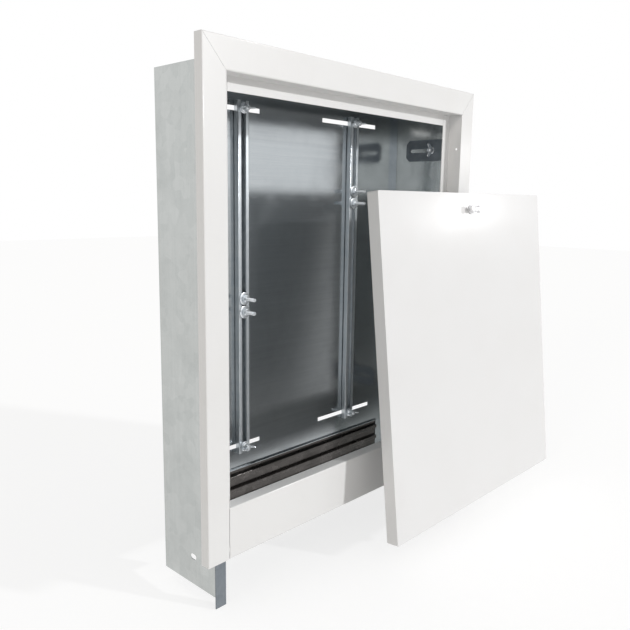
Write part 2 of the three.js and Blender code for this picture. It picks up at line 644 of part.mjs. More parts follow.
// Rails and what they carry
function rail(free) {
  const half = RAIL_W / 2;
  const low = SLOT_ROWS.lower - RAIL_OVER;
  const high = SLOT_ROWS.upper + RAIL_OVER;
  const tube = block(-half, half, RAIL_FRONT, RAIL_BACK, low, high);
  const inside = half - RAIL_SHEET;
  const [from, to] = [low - OVERCUT, high + OVERCUT];
  const hollow = block(-inside, inside, RAIL_FRONT + RAIL_SHEET, RAIL_BACK - RAIL_SHEET, from, to);
  const mouth = block(-RAIL_SLOT / 2, RAIL_SLOT / 2, RAIL_FRONT - OVERCUT, RAIL_FRONT + RAIL_D / 2, from, to);
  const holes = Object.values(SLOT_ROWS).map((z) => rod(HOLE_R, 2 * RAIL_D, 'y', 0, RAIL_BACK, z));
  return surface(flatsApart(cut(tube, [hollow, mouth, ...holes]), free));
}

function placeRail(group, side, free) {
  const x = RAIL_X[side];
  place(group, `rail_${side}`, rail(free), zinc, [x, 0, 0]);
  const washerFace = RAIL_FRONT - GAP;
  const nutFace = washerFace - RAIL_WASHER_T - GAP;
  const length = GAP - nutFace + WING_HUB_H + SHANK_SPARE;
  for (const [row, z] of Object.entries(SLOT_ROWS)) {
    const head = bolt(RAIL_HEAD_R, RAIL_HEAD_H, length);
    place(group, `rail_bolt_${row}_${side}`, head, zinc, [x, GAP, z], TURNS.front);
    const washer = ring(RAIL_WASHER_R, HOLE_R, RAIL_WASHER_T);
    place(group, `rail_washer_${row}_${side}`, washer, zinc, [x, washerFace, z], TURNS.front);
    place(group, `rail_wing_nut_${row}_${side}`, wingNut(), zinc, [x, nutFace, z], TURNS.front);
  }
}

function placeClamp(group, name, z) {
  const x = RAIL_X[name.split('_')[1]];
  const headFace = RAIL_FRONT + RAIL_SHEET + GAP;
  const washerFace = RAIL_FRONT - GAP;
  const nutFace = washerFace - WASHER_T - GAP;
  const washer = ring(WASHER_R, HOLE_R, WASHER_T);
  place(group, `clamp_bolt_${name}`, clampBolt(), zinc, [x, headFace, z], TURNS.front);
  place(group, `clamp_washer_${name}`, washer, zinc, [x, washerFace, z], TURNS.front);
  place(group, `clamp_nut_${name}`, hexNut(NUT_AF, NUT_H, HOLE_R), zinc, [x, nutFace, z], TURNS.front);
}

function buildRails() {
  const rails = new THREE.Group();
  const [lowNut, highNut] = [SLOT_ROWS.lower, SLOT_ROWS.upper].map((z) => [z, WING_SPAN]);
  placeRail(rails, 'left', freeStretch([CLAMP_Z.upper_left, WASHER_R], highNut));
  placeRail(rails, 'right', freeStretch(lowNut, [CLAMP_Z.lower_right, WASHER_R]));
  for (const [name, z] of Object.entries(CLAMP_Z)) placeClamp(rails, name, z);
  return rails;
}

// Door, in its own place: face on y = 0, lower left corner at the origin
function roundedRect(x0, x1, z0, z1, radius) {
  const shape = new THREE.Shape();
  shape.absarc(x1 - radius, z0 + radius, radius, -Math.PI / 2, 0);
  shape.absarc(x1 - radius, z1 - radius, radius, 0, Math.PI / 2);
  shape.absarc(x0 + radius, z1 - radius, radius, Math.PI / 2, Math.PI);
  shape.absarc(x0 + radius, z0 + radius, radius, Math.PI, 1.5 * Math.PI);
  shape.closePath();
  return shape;
}

function doorPanel() {
  const pan = plate(roundedRect(0, DOOR_W, 0, DOOR_H, DOOR_CORNER_R), 0, DOOR_D);
  const t = DOOR_SHEET;
  const innerR = DOOR_CORNER_R - t;
  const hollow = plate(roundedRect(t, DOOR_W - t, t, DOOR_H - t, innerR), t, DOOR_D - t);
  const rim = roundedRect(DOOR_HEM, DOOR_W - DOOR_HEM, DOOR_HEM, DOOR_H - DOOR_HEM, DOOR_HEM_R);
  const mouth = plate(rim, t, DOOR_D + OVERCUT);
  const lockX = DOOR_W / 2;
  const lockHole = rod(LOCK_BARREL_R + BOLT_CLEAR, 4 * t, 'y', lockX, 0, DOOR_H - LOCK_DOWN);
  const reach = camSweep(LOCK_DOWN - t);
  const [front, rear] = [CAM_Y - CATCH_CLEAR, CAM_Y + CAM_T + CATCH_CLEAR];
  const camSlot = block(lockX - CAM_EDGE, lockX + reach, front, rear, DOOR_H - 2 * t, DOOR_H + OVERCUT);
  const tabs = [DOOR_TAB_IN, DOOR_W - DOOR_TAB_IN - DOOR_TAB_W].map((x) => (
    block(x, x + DOOR_TAB_W, DOOR_D - t, DOOR_D, -DOOR_TAB_DROP, DOOR_HEM - t)));
  return surface(fuse([cut(pan, [hollow, mouth, lockHole, camSlot]), ...tabs]));
}

// The lock's pieces are turned about Z, with the door's face on z = 0 and its inside above.
function lockHousing() {
  const bore = SPINDLE_R + BOLT_CLEAR;
  const end = DOOR_SHEET + LOCK_BARREL_L - GAP;
  return turned([
    [bore, -GAP - LOCK_FLANGE_T], [LOCK_FLANGE_R - EDGE_BREAK, -GAP - LOCK_FLANGE_T],
    [LOCK_FLANGE_R, -GAP - LOCK_FLANGE_T + EDGE_BREAK], [LOCK_FLANGE_R, -GAP], [LOCK_BARREL_R, -GAP],
    [LOCK_BARREL_R, end], [bore, end], [bore, -GAP - LOCK_FLANGE_T],
  ], 24);
}

function lockKnob() {
  const front = -GAP - LOCK_FLANGE_T - GAP;
  const tip = CAM_Y + CAM_T + SPINDLE_END;
  const spindle = solid(turned([
    [0, front - KNOB_HUB_H - KNOB_T], [KNOB_HUB_R - 1, front - KNOB_HUB_H - KNOB_T],
    [KNOB_HUB_R, front - KNOB_HUB_H - KNOB_T + 1], [KNOB_HUB_R, front], [SPINDLE_R, front],
    [SPINDLE_R, tip], [0, tip],
  ], 16));
  const bow = new THREE.Shape();
  bow.moveTo(0, KNOB_WAIST_H);
  bow.quadraticCurveTo(KNOB_SPAN / 2, KNOB_WAIST_H, KNOB_SPAN - 2, KNOB_END_H);
  bow.quadraticCurveTo(KNOB_SPAN + 2, 0, KNOB_SPAN - 2, -KNOB_END_H);
  bow.quadraticCurveTo(KNOB_SPAN / 2, -KNOB_WAIST_H, 0, -KNOB_WAIST_H);
  bow.quadraticCurveTo(-KNOB_SPAN / 2, -KNOB_WAIST_H, 2 - KNOB_SPAN, -KNOB_END_H);
  bow.quadraticCurveTo(-KNOB_SPAN - 2, 0, 2 - KNOB_SPAN, KNOB_END_H);
  bow.quadraticCurveTo(-KNOB_SPAN / 2, KNOB_WAIST_H, 0, KNOB_WAIST_H);
  const wings = new THREE.ExtrudeGeometry(bow, { depth: KNOB_T, bevelEnabled: false, curveSegments: 6 });
  return surface(fuse([spindle, solid(wings.translate(0, 0, front - KNOB_HUB_H - KNOB_T))]));
}

// The cam lies along +X here: turned a quarter about the spindle, it reaches through the catch slots.
function lockCam() {
  const shape = new THREE.Shape();
  shape.absarc(0, 0, CAM_W, Math.PI / 6, (11 * Math.PI) / 6);
  shape.lineTo(CAM_L, -CAM_W / 2);
  shape.lineTo(CAM_L, CAM_W / 2);
  shape.closePath();
  shape.holes.push(new THREE.Path().absarc(0, 0, SPINDLE_R + BOLT_CLEAR, 0, 2 * Math.PI, true));
  return welded(new THREE.ExtrudeGeometry(shape, { depth: CAM_T, bevelEnabled: false, curveSegments: 8 }));
}

function buildDoor() {
  const door = new THREE.Group();
  place(door, 'door_panel', doorPanel(), white);
  const centre = [DOOR_W / 2, 0, DOOR_H - LOCK_DOWN];
  place(door, 'lock_housing', lockHousing(), nickel, centre, TURNS.back);
  place(door, 'lock_knob', lockKnob(), nickel, centre, TURNS.back);
  const nut = hexNut(LOCK_NUT_AF, LOCK_NUT_H, LOCK_BARREL_R + BOLT_CLEAR);
  place(door, 'lock_nut', nut, zinc, [centre[0], DOOR_SHEET + GAP, centre[2]], TURNS.back);
  place(door, 'lock_cam', lockCam(), zinc, [centre[0], CAM_Y, centre[2]], TURNS.back);
  const reach = DOOR_H * Math.sin(DOOR_LEAN) + DOOR_D * Math.cos(DOOR_LEAN);
  door.position.set(DOOR_X, -DEPTH - reach - GAP, Z_FRAME + DOOR_LIFT);
  door.rotation.x = -DOOR_LEAN;
  return door;
}

const cabinet = new THREE.Group();
cabinet.add(buildShell());
cabinet.add(buildFeet());
cabinet.add(buildFrame());
cabinet.add(buildLugFasteners());
cabinet.add(buildRails());
cabinet.add(buildDoor());

export default cabinet;
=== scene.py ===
"""Recessed steel service cabinet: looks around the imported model."""

import json
from math import atan2, cos, pi, radians, sin, tan

import bmesh
import bpy
from mathutils import Matrix, Vector


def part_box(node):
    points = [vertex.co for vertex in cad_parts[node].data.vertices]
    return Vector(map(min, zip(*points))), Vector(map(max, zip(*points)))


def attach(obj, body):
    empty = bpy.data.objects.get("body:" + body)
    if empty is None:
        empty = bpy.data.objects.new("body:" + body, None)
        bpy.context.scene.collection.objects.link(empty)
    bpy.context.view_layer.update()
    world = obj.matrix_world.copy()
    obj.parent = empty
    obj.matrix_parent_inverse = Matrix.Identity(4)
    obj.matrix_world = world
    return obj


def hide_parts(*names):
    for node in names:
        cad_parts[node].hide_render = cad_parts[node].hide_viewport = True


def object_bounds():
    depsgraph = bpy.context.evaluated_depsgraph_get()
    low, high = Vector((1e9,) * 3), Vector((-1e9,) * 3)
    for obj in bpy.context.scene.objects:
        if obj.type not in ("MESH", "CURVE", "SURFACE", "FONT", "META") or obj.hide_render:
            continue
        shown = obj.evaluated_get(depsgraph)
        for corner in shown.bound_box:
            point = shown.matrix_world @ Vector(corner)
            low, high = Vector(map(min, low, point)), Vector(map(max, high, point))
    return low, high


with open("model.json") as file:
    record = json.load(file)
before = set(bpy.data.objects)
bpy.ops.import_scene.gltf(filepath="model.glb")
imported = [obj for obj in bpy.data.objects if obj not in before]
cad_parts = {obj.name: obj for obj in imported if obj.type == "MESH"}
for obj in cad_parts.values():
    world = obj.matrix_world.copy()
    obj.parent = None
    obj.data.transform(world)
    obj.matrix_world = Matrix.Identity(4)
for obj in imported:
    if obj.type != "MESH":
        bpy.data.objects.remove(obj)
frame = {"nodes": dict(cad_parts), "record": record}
CAD_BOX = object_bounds()
MM = 0.001


# ---------------------------------------------------------------- node trees

def node(tree, kind, inputs=(), **settings):
    """A shader node. A socket given as an input is linked, anything else is a value."""
    made = tree.nodes.new(kind)
    for key, value in settings.items():
        setattr(made, key, value)
    for key, value in dict(inputs).items():
        if isinstance(value, bpy.types.NodeSocket):
            tree.links.new(value, made.inputs[key])
        else:
            made.inputs[key].default_value = value
    return made


def group(name, inputs, outputs):
    """An empty shader node group with the sockets named, each a (name, kind, value)."""
    tree = bpy.data.node_groups.new(name, "ShaderNodeTree")
    for label, kind, value in inputs:
        socket = tree.interface.new_socket(label, in_out="INPUT", socket_type=f"NodeSocket{kind}")
        socket.default_value = value
    for label, kind in outputs:
        tree.interface.new_socket(label, in_out="OUTPUT", socket_type=f"NodeSocket{kind}")
    return tree, tree.nodes.new("NodeGroupInput").outputs, tree.nodes.new("NodeGroupOutput").inputs


def math(tree, operation, a, b=0.0):
    return node(tree, "ShaderNodeMath", {0: a, 1: b}, operation=operation).outputs[0]


def remap(tree, value, low, high, to_low, to_high):
    made = node(tree, "ShaderNodeMapRange", {0: value, 1: low, 2: high, 3: to_low, 4: to_high})
    return made.outputs[0]


def noise(tree, where, scale, detail=2.0, roughness=0.5):
    return node(tree, "ShaderNodeTexNoise", {
        "Vector": where, "Scale": scale, "Detail": detail, "Roughness": roughness}).outputs["Fac"]


def blended(tree, factor, a, b):
    made = node(tree, "ShaderNodeMix", {0: factor, 6: a, 7: b}, data_type="RGBA")
    return made.outputs[2]


def build_spangle():
    """Zinc crystals on hot-dipped sheet: a soft patchwork of tones, a little finer mottling."""
    tree, given, out = group(
        "zinc spangle", [("Where", "Vector", (0, 0, 0)), ("Crystal Size", "Float", 0.012)],
        [("Tone", "Float"), ("Smudge", "Float")])
    density = math(tree, "DIVIDE", 1.0, given["Crystal Size"])
    wobble = node(tree, "ShaderNodeTexNoise", {
        "Vector": given["Where"], "Scale": 60.0, "Detail": 2.0}).outputs["Color"]
    shift = node(tree, "ShaderNodeVectorMath", {0: wobble, "Scale": 0.012}, operation="SCALE").outputs[0]
    shifted = node(tree, "ShaderNodeVectorMath", {0: given["Where"], 1: shift})
    cells = node(tree, "ShaderNodeTexVoronoi", {
        "Vector": shifted.outputs[0], "Scale": density, "Randomness": 1.0}, feature="F1")
    crystal = node(tree, "ShaderNodeSeparateColor", {0: cells.outputs["Color"]}).outputs[0]
    mottle = noise(tree, given["Where"], 240.0, 3.0, 0.6)
    tone = math(tree, "ADD", math(tree, "MULTIPLY", crystal, 0.55),
                math(tree, "MULTIPLY", mottle, 0.45))
    tree.links.new(tone, out["Tone"])
    smudge = remap(tree, noise(tree, given["Where"], 14.0, 4.0, 0.62), 0.48, 0.7, 0.0, 1.0)
    tree.links.new(smudge, out["Smudge"])
    return tree


def build_grain():
    """Rolling lines: long fine streaks along one way of the sheet, and their shallow relief."""
    tree, given, out = group(
        "rolling lines", [("Where", "Vector", (0, 0, 0)), ("Stretch", "Vector", (1, 1, 1))],
        [("Streak", "Float"), ("Relief", "Float")])
    where = node(tree, "ShaderNodeVectorMath", {
        0: given["Where"], 1: given["Stretch"]}, operation="MULTIPLY").outputs[0]
    wide = node(tree, "ShaderNodeVectorMath", {0: where, "Scale": 0.13}, operation="SCALE").outputs[0]
    fine = noise(tree, where, 1.0, 4.0, 0.65)
    broad = noise(tree, wide, 1.0, 2.0, 0.5)
    streak = math(tree, "ADD", math(tree, "MULTIPLY", fine, 0.6), math(tree, "MULTIPLY", broad, 0.4))
    tree.links.new(streak, out["Streak"])
    tree.links.new(fine, out["Relief"])
    return tree


def build_dust():
    """Faint dust and handling marks, in patches."""
    tree, given, out = group(
        "dust", [("Where", "Vector", (0, 0, 0)), ("Patch Size", "Float", 0.08)], [("Dust", "Float")])
    scale = math(tree, "DIVIDE", 1.0, given["Patch Size"])
    patches = noise(tree, given["Where"], scale, 4.0, 0.6)
    specks = noise(tree, given["Where"], 900.0, 1.0, 0.5)
    dusty = math(tree, "MULTIPLY", remap(tree, patches, 0.45, 0.75, 0.0, 1.0),
                 remap(tree, specks, 0.35, 0.65, 0.6, 1.0))
    tree.links.new(dusty, out["Dust"])
    return tree


SPANGLE, GRAIN, DUST = build_spangle(), build_grain(), build_dust()


def place(tree, which, inputs):
    return node(tree, "ShaderNodeGroup", inputs, node_tree=which).outputs


# ---------------------------------------------------------------- finishes

def new_finish(name, **constants):
    """A material with its shader's plain values set, and the piece's own coordinates."""
    material = bpy.data.materials.new(name)
    material.use_nodes = True
    tree = material.node_tree
    shader = tree.nodes["Principled BSDF"]
    for key, value in constants.items():
        shader.inputs[key.replace("_", " ")].default_value = value
    where = node(tree, "ShaderNodeTexCoord").outputs["Object"]
    return material, tree, shader.inputs, where


def relief(tree, shader, height, distance=1.0):
    bump = node(tree, "ShaderNodeBump", {"Height": height, "Distance": distance})
    tree.links.new(bump.outputs[0], shader["Normal"])


def galvanised(name, light, dark, stretch, rough, crystal=0.012, wave=0.0, metal=1.0, flake=0.4):
    """Hot-dipped sheet: spangle, rolling lines one way, smudges, and a slightly uneven surface."""
    material, tree, shader, where = new_finish(name, Metallic=metal)
    spangle = place(tree, SPANGLE, {"Where": where, "Crystal Size": crystal})
    grain = place(tree, GRAIN, {"Where": where, "Stretch": stretch})
    tone = math(tree, "ADD", math(tree, "MULTIPLY", spangle["Tone"], flake),
                math(tree, "MULTIPLY", grain["Streak"], 1.0 - flake))
    colour = blended(tree, remap(tree, tone, 0.3, 0.7, 0.0, 1.0), dark, light)
    dull = tuple(0.82 * c for c in dark[:3]) + (1.0,)
    smudged = blended(tree, math(tree, "MULTIPLY", spangle["Smudge"], 0.3), colour, dull)
    tree.links.new(smudged, shader["Base Color"])
    roughness = math(tree, "ADD", remap(tree, tone, 0.3, 0.7, rough + 0.05, rough - 0.04),
                     math(tree, "MULTIPLY", spangle["Smudge"], 0.06))
    tree.links.new(roughness, shader["Roughness"])
    height = math(tree, "MULTIPLY", grain["Relief"], 0.000012)
    height = math(tree, "ADD", height, math(tree, "MULTIPLY", spangle["Tone"], 0.00001 * flake))
    slow = noise(tree, where, 7.0, 1.0, 0.4)
    height = math(tree, "ADD", height, math(tree, "MULTIPLY", slow, wave))
    relief(tree, shader, height)
    return material


def plated(name, colour, tint, rough, stretch=(300.0, 300.0, 300.0), metal=0.85):
    """Bright plating: fine drawing lines and the faint straw and blue of passivated zinc."""
    material, tree, shader, where = new_finish(name, Metallic=metal)
    grain = place(tree, GRAIN, {"Where": where, "Stretch": stretch})
    hue = remap(tree, noise(tree, where, 90.0, 2.0, 0.5), 0.35, 0.65, 0.0, 1.0)
    base = blended(tree, hue, colour, tint)
    dark = tuple(0.78 * c for c in colour[:3]) + (1.0,)
    base = blended(tree, remap(tree, grain["Streak"], 0.52, 0.75, 0.0, 0.6), base, dark)
    tree.links.new(base, shader["Base Color"])
    roughness = remap(tree, grain["Streak"], 0.3, 0.7, rough - 0.05, rough + 0.09)
    tree.links.new(roughness, shader["Roughness"])
    relief(tree, shader, grain["Relief"], 0.000012)
    return material


def powder_coat(name, white, shade, rough, gloss):
    """White powder coat: fine orange peel under a soft gloss, with a trace of dust."""
    material, tree, shader, where = new_finish(
        name, Metallic=0.0, Coat_Roughness=0.16, Coat_IOR=1.5, IOR=1.5)
    dust = place(tree, DUST, {"Where": where, "Patch Size": 0.09})["Dust"]
    peel = noise(tree, where, 620.0, 2.0, 0.5)
    tone = remap(tree, noise(tree, where, 9.0, 3.0, 0.5), 0.3, 0.7, 0.0, 0.45)
    colour = blended(tree, tone, white, shade)
    colour = blended(tree, math(tree, "MULTIPLY", dust, 0.12), colour, (0.62, 0.6, 0.57, 1.0))
    tree.links.new(colour, shader["Base Color"])
    tree.links.new(remap(tree, peel, 0.35, 0.65, rough - 0.02, rough + 0.04), shader["Roughness"])
    tree.links.new(remap(tree, dust, 0.0, 1.0, gloss, 0.55 * gloss), shader["Coat Weight"])
    slow = noise(tree, where, 5.0, 1.0, 0.4)
    height = math(tree, "ADD", math(tree, "MULTIPLY", peel, 0.000022), math(tree, "MULTIPLY", slow, 0.0006))
    relief(tree, shader, height)
    return material


UPRIGHT_LINES = (900.0, 900.0, 9.0)
LEVEL_LINES = (9.0, 900.0, 900.0)
RAIL_LINES = (900.0, 900.0, 6.0)
side_sheet = galvanised(
    "galvanised side sheet", (0.56, 0.575, 0.565, 1), (0.49, 0.51, 0.50, 1), UPRIGHT_LINES,
    rough=0.17, crystal=0.016, wave=0.0003)
back_sheet = galvanised(
    "galvanised back sheet", (0.52, 0.55, 0.57, 1), (0.42, 0.45, 0.47, 1), LEVEL_LINES,
    rough=0.16, crystal=0.010, wave=0.0003, flake=0.08)
inner_sheet = galvanised(
    "galvanised top sheet", (0.5, 0.52, 0.53, 1), (0.42, 0.44, 0.45, 1), LEVEL_LINES,
    rough=0.3, crystal=0.010, wave=0.0002)
strap_steel = galvanised(
    "galvanised strap", (0.24, 0.265, 0.29, 1), (0.19, 0.215, 0.24, 1), UPRIGHT_LINES,
    rough=0.45, crystal=0.009, metal=0.7)
# Painted shade: the pipe guide's near-black tone stands for the dark shade at the cabinet's bottom, not for
# oil on the sheet.
guide_sheet_painted_shade = galvanised(
    "guide sheet, dark tone painted shade", (0.15, 0.14, 0.135, 1), (0.09, 0.085, 0.08, 1), LEVEL_LINES,
    rough=0.27, crystal=0.02, metal=0.95)
rail_zinc = plated(
    "zinc-plated rail", (0.60, 0.63, 0.65, 1), (0.54, 0.58, 0.61, 1), 0.32, RAIL_LINES, metal=0.93)
bolt_zinc = plated(
    "zinc-plated fasteners", (0.86, 0.89, 0.92, 1), (0.8, 0.84, 0.88, 1), 0.18, metal=0.8)
lock_nickel = plated("nickel-plated lock", (0.84, 0.84, 0.85, 1), (0.78, 0.78, 0.8, 1), 0.27)
frame_white = powder_coat(
    "white powder coat, frame", (0.80, 0.80, 0.80, 1), (0.775, 0.77, 0.765, 1), rough=0.38, gloss=0.25)
door_white = powder_coat(
    "white powder coat, door", (0.80, 0.80, 0.805, 1), (0.78, 0.78, 0.785, 1), rough=0.3, gloss=0.55)


# ---------------------------------------------------------------- shaping helpers

def clean_copy(name):
    """A joined-up copy of a CAD solid, its flat faces each made one face again."""
    shape = bmesh.new()
    shape.from_mesh(frame["nodes"][name].data)
    bmesh.ops.remove_doubles(shape, verts=shape.verts, dist=0.005 * MM)
    bmesh.ops.dissolve_limit(shape, angle_limit=radians(0.5), verts=shape.verts, edges=shape.edges)
    return shape


def corners(shape, smallest=50):
    """The outward edges sharper than the angle given."""
    return [e for e in shape.edges
            if len(e.link_faces) == 2 and e.is_convex and e.calc_face_angle(0) > radians(smallest)]


def rounded(shape, edges, radius, segments=2):
    bmesh.ops.bevel(shape, geom=edges, offset=radius * MM, offset_type="OFFSET", segments=segments,
                    profile=0.5, affect="EDGES", material=-1, clamp_overlap=True)
    bmesh.ops.remove_doubles(shape, verts=shape.verts, dist=0.002 * MM)


def lathe(profile, segments=32):
    """A body turned about Z from radius and height points; one that stays off the axis is a ring."""
    shape = bmesh.new()
    points = [shape.verts.new((radius * MM, 0, height * MM)) for radius, height in profile]
    lines = [shape.edges.new(pair) for pair in zip(points, points[1:])]
    if profile[0][0] > 0:
        lines.append(shape.edges.new((points[-1], points[0])))
    bmesh.ops.spin(shape, geom=points + lines, axis=(0, 0, 1), cent=(0, 0, 0),
                   angle=2 * pi, steps=segments, use_merge=True)
    bmesh.ops.remove_doubles(shape, verts=shape.verts, dist=0.002 * MM)
    bmesh.ops.recalc_face_normals(shape, faces=shape.faces)
    return shape


def slab(outline, thickness):
    """A flat piece from an outline in X and Z, its thickness centred on Y."""
    shape = bmesh.new()
    points = [shape.verts.new((x * MM, -thickness / 2 * MM, z * MM)) for x, z in outline]
    face = shape.faces.new(points)
    grown = bmesh.ops.extrude_face_region(shape, geom=[face])["geom"]
    moved = [g for g in grown if isinstance(g, bmesh.types.BMVert)]
    bmesh.ops.translate(shape, vec=(0, thickness * MM, 0), verts=moved)
    bmesh.ops.recalc_face_normals(shape, faces=shape.faces)
    return shape


def joined(first, *others):
    """Several closed bodies in one mesh."""
    for other in others:
        spare = bpy.data.meshes.new("spare")
        other.to_mesh(spare)
        other.free()
        first.from_mesh(spare)
        bpy.data.meshes.remove(spare)
    return first


FACING = {
    "front": Matrix.Rotation(pi / 2, 4, "X"),
    "back": Matrix.Rotation(-pi / 2, 4, "X"),
    "left": Matrix.Rotation(-pi / 2, 4, "Y"),
    "right": Matrix.Rotation(pi / 2, 4, "Y"),
}


def seated(shape, facing, spot, turn=0.0):
    """Turned so that its own Z looks the way given, and put down at the spot."""
    put = Matrix.Translation(spot) @ facing @ Matrix.Rotation(radians(turn), 4, "Z")
    bmesh.ops.transform(shape, matrix=put, verts=shape.verts)
    return shape


NARROW = 1.0 * MM
SMOOTH_BELOW = radians(32)


def width_of(face):
    return face.calc_area() / max(e.calc_length() for e in face.edges)


def finished(shape, name, material, replaced, flat_sided=False):
    """The shape as an object that stands for a CAD node and rides on that node's body.

    Where the sides are flat, only the narrow faces of the rounded edges are shaded smooth.
    """
    for face in shape.faces:
        face.smooth = not flat_sided or width_of(face) < NARROW
    for edge in shape.edges:
        if len(edge.link_faces) == 2:
            edge.smooth = edge.calc_face_angle(0) < SMOOTH_BELOW
    mesh = bpy.data.meshes.new(name)
    shape.to_mesh(mesh)
    shape.free()
    mesh.materials.append(material)
    piece = bpy.data.objects.new(name, mesh)
    bpy.context.scene.collection.objects.link(piece)
    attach(piece, BODY_OF[replaced])
    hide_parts(replaced)


BODIES = frame["record"]["behaviour"]["bodies"]
BODY_OF = {name: body for body, nodes in BODIES.items() for name in nodes}
LOW, HIGH = 0, 1
OUTER_END = {"left": LOW, "right": HIGH}
ROWS = ("upper", "lower")
CLAMPS = ("lower_left", "upper_left", "lower_right", "upper_right")


# ---------------------------------------------------------------- sheet metal

X, Y, Z = range(3)
LONG_FOLD = 0.3
CHANNEL_FOLD = 0.05


def runs_along(edge, axis):
    way = (edge.verts[0].co - edge.verts[1].co).normalized()
    return abs(way[axis]) > 0.999


def lies_at(edge, axis, level):
    return all(abs(v.co[axis] - level) < 0.05 * MM for v in edge.verts)


def fold_at(axis, *planes, longer_than=0.0):
    """A test for an edge along an axis that lies in every plane, each an axis and a level."""
    def is_fold(edge):
        return (runs_along(edge, axis) and edge.calc_length() > longer_than
                and all(lies_at(edge, *plane) for plane in planes))
    return is_fold


def sheet(name, material, folds=(), fold_radius=1.5, edge_radius=0.22):
    """A sheet part: soft outer radii on its folds, and every other sheared edge just broken."""
    shape = clean_copy(name)
    for is_fold in folds:
        rounded(shape, [e for e in corners(shape, 25) if is_fold(e)], fold_radius, 4)
    rounded(shape, corners(shape, 60), edge_radius, 2)
    finished(shape, f"{name}_sheet", material, name, flat_sided=True)


def build_body():
    for side, end in OUTER_END.items():
        name = f"side_panel_{side}"
        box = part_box(name)
        sheet(name, side_sheet, [fold_at(Z, (X, box[end].x), (Y, box[LOW].y))], fold_radius=1.2)

    low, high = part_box("back_panel")
    sheet("back_panel", back_sheet, [
        lambda e: runs_along(e, Z) and lies_at(e, Y, high.y)
        and (lies_at(e, X, low.x) or lies_at(e, X, high.x))], fold_radius=1.2)
    _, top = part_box("top_panel")
    sheet("top_panel", inner_sheet, [
        lambda e: lies_at(e, Z, top.z) and not lies_at(e, Y, top.y)], fold_radius=1.2)
    sheet("pipe_guide", guide_sheet_painted_shade, [fold_at(X, longer_than=LONG_FOLD)], fold_radius=1.4)
    for side in OUTER_END:
        sheet(f"foot_strip_{side}", strap_steel, edge_radius=0.35)


def build_frame():
    for name, axis in (("frame_stile_left", Z), ("frame_stile_right", Z),
                       ("frame_top_rail", X), ("frame_apron", X)):
        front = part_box(name)[LOW].y
        sheet(name, frame_white, [fold_at(axis, (Y, front), longer_than=LONG_FOLD)],
              fold_radius=1.7, edge_radius=0.25)
    for row in ROWS:
        for side, end in OUTER_END.items():
            name = f"frame_lug_{row}_{side}"
            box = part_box(name)
            sheet(name, strap_steel, [fold_at(Z, (X, box[end].x), (Y, box[LOW].y))],
                  fold_radius=1.6, edge_radius=0.3)


def build_rails():
    for side in OUTER_END:
        name = f"rail_{side}"
        low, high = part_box(name)
        sheet(name, rail_zinc, [
            lambda e: runs_along(e, Z) and e.calc_length() > CHANNEL_FOLD
            and (lies_at(e, X, low.x) or lies_at(e, X, high.x))], fold_radius=1.3, edge_radius=0.3)


LOCK_JOINT = next(j for j in frame["record"]["behaviour"]["joints"] if j["name"] == "lock_quarter_turn")
LOCK = Vector(LOCK_JOINT["pos_m"])
LOCK_HOLE_REACH = 10.0
DOOR_LEAN = radians(6.26)
DOOR_TURN = Matrix.Rotation(-DOOR_LEAN, 4, "X")


def build_door():
    """The leaning door, its front edges folded, and the hole round the lock left sharp."""
    outward = Vector(LOCK_JOINT["axis"])
    ahead = max((v.co - LOCK).dot(outward) for v in frame["nodes"]["door_panel"].data.vertices)

    def on_front(edge):
        return (all(abs((v.co - LOCK).dot(outward) - ahead) < 0.05 * MM for v in edge.verts)
                and all((v.co - LOCK).length > LOCK_HOLE_REACH * MM for v in edge.verts))

    sheet("door_panel", door_white, [on_front], fold_radius=1.8, edge_radius=0.25)


# ---------------------------------------------------------------- fasteners

M6 = 3.0
PITCH = 1.0
THREAD_DEPTH = 0.5
TURN_STEPS = 20
CHAMFER = 0.8
RAIL_HEAD, CLAMP_HEAD, FOOT_HEAD, RIVET_HEAD = 1.5, 2.6, 1.6, 1.4


def threaded(length):
    """An M6 shank with a rolled thread, from Z = 0 to a chamfered end at the length."""
    shape = bmesh.new()
    profile = []
    for turn in range(-1, int(length / PITCH) + 3):
        profile += [(M6 - THREAD_DEPTH, turn * PITCH), (M6 - 0.02, (turn + 0.5) * PITCH)]
    points = [shape.verts.new((radius * MM, 0, height * MM)) for radius, height in profile]
    lines = [shape.edges.new(pair) for pair in zip(points, points[1:])]
    bmesh.ops.spin(shape, geom=points + lines, axis=(0, 0, 1), cent=(0, 0, 0),
                   dvec=(0, 0, PITCH * MM / TURN_STEPS), angle=2 * pi, steps=TURN_STEPS, use_merge=False)
    bmesh.ops.remove_doubles(shape, verts=shape.verts, dist=0.005 * MM)
    end = length - CHAMFER
    for level, clear_below, clear_above in ((0, True, False), (end, False, True)):
        everything = list(shape.verts) + list(shape.edges) + list(shape.faces)
        bmesh.ops.bisect_plane(shape, geom=everything, plane_co=(0, 0, level * MM), plane_no=(0, 0, 1),
                               clear_inner=clear_below, clear_outer=clear_above)
    bmesh.ops.holes_fill(shape, edges=[e for e in shape.edges if e.is_boundary], sides=0)
    bmesh.ops.recalc_face_normals(shape, faces=shape.faces)
    tip = lathe([(0, end - 0.5), (M6 - 0.45, end - 0.5), (M6 - 0.45, end + 0.1),
                 (M6 - 0.9, length), (0, length)], 20)
    return joined(shape, tip)


def washer(radius, thickness, bore=M6 + 0.3):
    shape = lathe([(bore, 0), (radius, 0), (radius, thickness), (bore, thickness)], 48)
    rounded(shape, corners(shape), 0.28, 2)
    return shape


